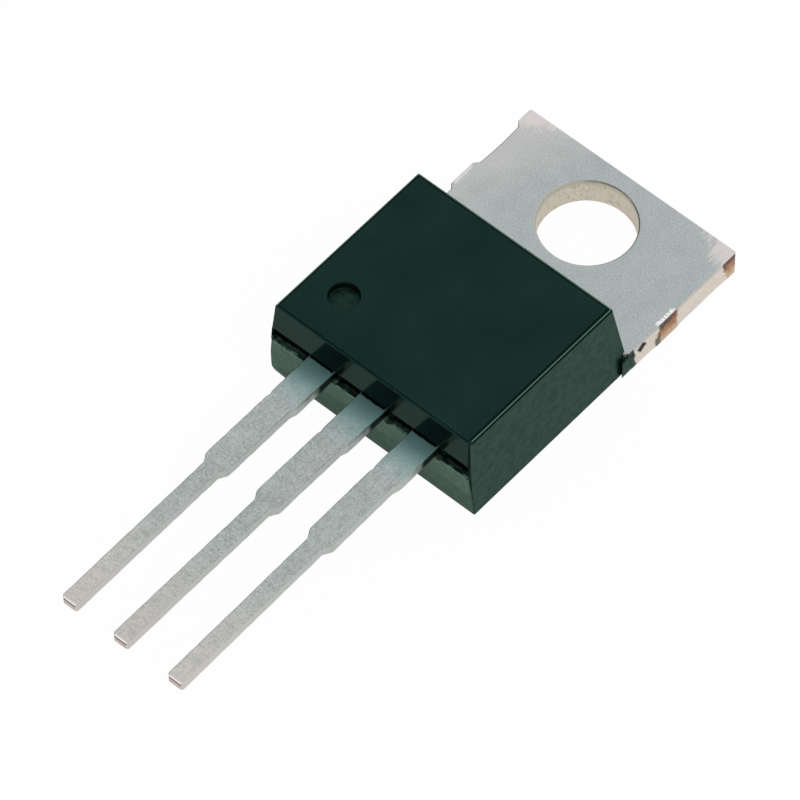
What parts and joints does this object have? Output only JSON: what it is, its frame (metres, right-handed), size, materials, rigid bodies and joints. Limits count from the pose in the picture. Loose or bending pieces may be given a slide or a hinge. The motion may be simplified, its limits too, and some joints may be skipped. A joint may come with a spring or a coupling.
{
  "type": "power transistor",
  "caption": "Power transistor in a flat moulded package with leads in a row at one end and a metal cooling tab with a screw hole at the other.",
  "frame": {"origin": "axis of the tab's screw hole at the mounting face", "axes": "+Z along the screw hole, out of the mounting face towards the moulded top; +Y towards the free end of the tab; the leads run towards -Y"},
  "size_m": [0.0102, 0.0289, 0.0046],
  "materials": {
    "moulding": "fine satin moulded epoxy, near black with a green cast",
    "plated_copper": "satin tin plating over copper, bare copper where the stubs are sheared",
    "tinned_lead": "satin tin plating, finely mottled",
    "silicon": "polished silicon with aluminium pads",
    "solder": "dull soft solder",
    "bond_aluminium": "bright drawn wire"
  },
  "bodies": {
    "root": {"moulded_body": "moulding", "collector_header": "plated_copper", "base_lead": "tinned_lead", "emitter_lead": "tinned_lead", "transistor_die": "silicon", "die_solder": "solder", "base_wire": "bond_aluminium", "emitter_wire_1": "bond_aluminium", "emitter_wire_2": "bond_aluminium"}
  },
  "joints": []
}
